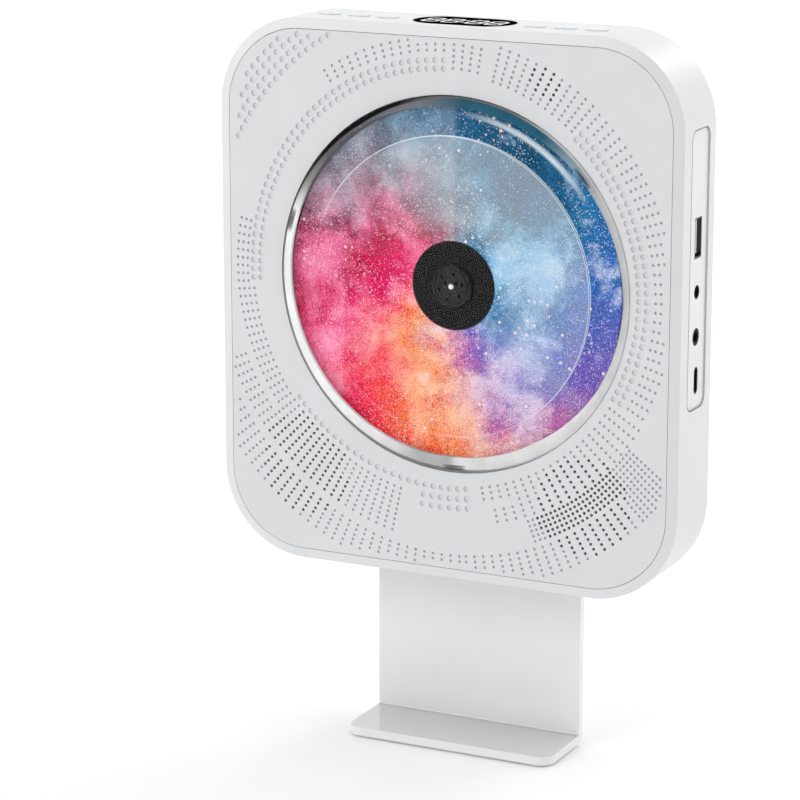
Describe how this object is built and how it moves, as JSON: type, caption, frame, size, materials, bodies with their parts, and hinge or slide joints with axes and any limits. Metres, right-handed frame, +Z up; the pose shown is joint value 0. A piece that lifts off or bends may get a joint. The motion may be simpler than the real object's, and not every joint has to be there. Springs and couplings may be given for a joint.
{
  "type": "desktop disc player",
  "caption": "Upright rounded-square disc player on an L-shaped stand, with a perforated front, a clear cover over the disc, top buttons with a display, and side sockets.",
  "frame": {"origin": "on the table under the middle of the whole object's bounding box, at the underside of the stand's pad", "axes": "+Z up; the front panel and the clear cover face -Y; +X to the right as seen from the front, towards the sockets"},
  "size_m": [0.168, 0.037, 0.2508],
  "materials": {
    "housing_white": "satin white moulding",
    "panel_white": "fine satin white",
    "port_white": "satin white",
    "button_white": "satin white",
    "clear_acrylic": "clear polished",
    "disc_print": "printed glossy disc",
    "black_plastic": "black",
    "black_gloss": "dark polished",
    "display_light": "lit white segments on a module",
    "acetal": "natural acetal",
    "sled_grey": "dark grey moulding",
    "steel": "zinc plated steel",
    "bright_steel": "polished",
    "screw_steel": "nickel plated",
    "brass": "plain brass",
    "rubber": "soft black",
    "magnet": "dark ferrite",
    "speaker_frame": "black painted pressing",
    "cone_paper": "dark paper",
    "board_green": "lacquered laminate",
    "battery_wrap": "blue shrink wrap",
    "tongue_white": "white insulator",
    "tongue_black": "black insulator",
    "lens_glass": "coated lens",
    "stand_white": "gloss white powder coat"
  },
  "bodies": {
    "player": {"aux_jack": "black_plastic", "battery_pack": "battery_wrap", "board_screws": "screw_steel", "button_board": "board_green", "button_board_screws": "screw_steel", "deck_chassis": "steel", "deck_dampers": "rubber", "deck_screws": "screw_steel", "disc_well": "panel_white", "display_module": "display_light", "display_window": "black_gloss", "front_panel": "panel_white", "guide_rods": "bright_steel", "headphone_jack": "black_plastic", "housing_screws": "screw_steel", "housing_shell": "housing_white", "idler_pin": "bright_steel", "ir_receiver": "black_plastic", "main_board": "board_green", "motor_screws": "screw_steel", "panel_frame": "panel_white", "port_plate": "port_white", "rear_cover": "housing_white", "sled_motor": "steel", "speaker_frames": "speaker_frame", "speaker_magnets": "magnet", "speaker_surrounds": "rubber", "spindle_motor": "steel", "stand": "stand_white", "stand_inserts": "brass", "stand_pad": "rubber", "stand_screws": "screw_steel", "tact_switches": "black_plastic", "tray_screws": "screw_steel", "usb_a_shell": "bright_steel", "usb_a_tongue": "tongue_white", "usb_c_shell": "bright_steel", "usb_c_tongue": "tongue_black"},
    "cover": {"clear_cover": "clear_acrylic", "cover_latches": "black_plastic"},
    "rotor": {"disc": "disc_print", "turntable": "black_plastic", "chuck_balls": "bright_steel", "spindle_shaft": "bright_steel"},
    "sled": {"pickup_sled": "sled_grey"},
    "lens": {"lens_holder": "black_plastic", "objective_lens": "lens_glass"},
    "idler": {"idler_gear": "acetal"},
    "sled_drive": {"sled_motor_shaft": "bright_steel", "pinion_gear": "acetal"},
    "cone_left": {"speaker_cone_left": "cone_paper"},
    "cone_right": {"speaker_cone_right": "cone_paper"},
    "key_1": {"button_1": "button_white"},
    "key_2": {"button_2": "button_white"},
    "key_3": {"button_3": "button_white"},
    "key_4": {"button_4": "button_white"},
    "key_5": {"button_5": "button_white"},
    "key_6": {"button_6": "button_white"}
  },
  "joints": [
    {"name": "cover_pull", "type": "slide", "parent": "player", "child": "cover", "axis": [0, -1, 0], "range_m": [0, 0.02]},
    {"name": "disc_spin", "type": "hinge", "parent": "player", "child": "rotor", "pos_m": [0.003, -0.0139, 0.1646], "axis": [0, 1, 0], "continuous": true},
    {"name": "sled_slide", "type": "slide", "parent": "player", "child": "sled", "axis": [0, 0, -1], "range_m": [0, 0.034]},
    {"name": "lens_focus", "type": "slide", "parent": "sled", "child": "lens", "axis": [0, -1, 0], "range_m": [-0.0004, 0.0004], "stiffness_N_per_m": 40},
    {"name": "idler_turn", "type": "hinge", "parent": "player", "child": "idler", "pos_m": [-0.0266, -0.0139, 0.1206], "axis": [0, 1, 0], "range_deg": [0, 541.2]},
    {"name": "sled_motor_turn", "type": "hinge", "parent": "player", "child": "sled_drive", "pos_m": [-0.03656, -0.0139, 0.12635], "axis": [0, 1, 0], "range_deg": [-1948.2, 0]},
    {"name": "cone_left_push", "type": "slide", "parent": "player", "child": "cone_left", "axis": [0, -1, 0], "range_m": [-0.0006, 0.0006], "stiffness_N_per_m": 900},
    {"name": "cone_right_push", "type": "slide", "parent": "player", "child": "cone_right", "axis": [0, -1, 0], "range_m": [-0.0006, 0.0006], "stiffness_N_per_m": 900},
    {"name": "button_1_press", "type": "slide", "parent": "player", "child": "key_1", "axis": [0, 0, -1], "range_m": [0, 0.0004], "stiffness_N_per_m": 1500},
    {"name": "button_2_press", "type": "slide", "parent": "player", "child": "key_2", "axis": [0, 0, -1], "range_m": [0, 0.0004], "stiffness_N_per_m": 1500},
    {"name": "button_3_press", "type": "slide", "parent": "player", "child": "key_3", "axis": [0, 0, -1], "range_m": [0, 0.0004], "stiffness_N_per_m": 1500},
    {"name": "button_4_press", "type": "slide", "parent": "player", "child": "key_4", "axis": [0, 0, -1], "range_m": [0, 0.0004], "stiffness_N_per_m": 1500},
    {"name": "button_5_press", "type": "slide", "parent": "player", "child": "key_5", "axis": [0, 0, -1], "range_m": [0, 0.0004], "stiffness_N_per_m": 1500},
    {"name": "button_6_press", "type": "slide", "parent": "player", "child": "key_6", "axis": [0, 0, -1], "range_m": [0, 0.0004], "stiffness_N_per_m": 1500}
  ],
  "couplings": [
    {"joint": "idler_turn", "follows": "sled_slide", "rad_per_m": 277.78},
    {"joint": "sled_motor_turn", "follows": "sled_slide", "rad_per_m": -1000}
  ]
}
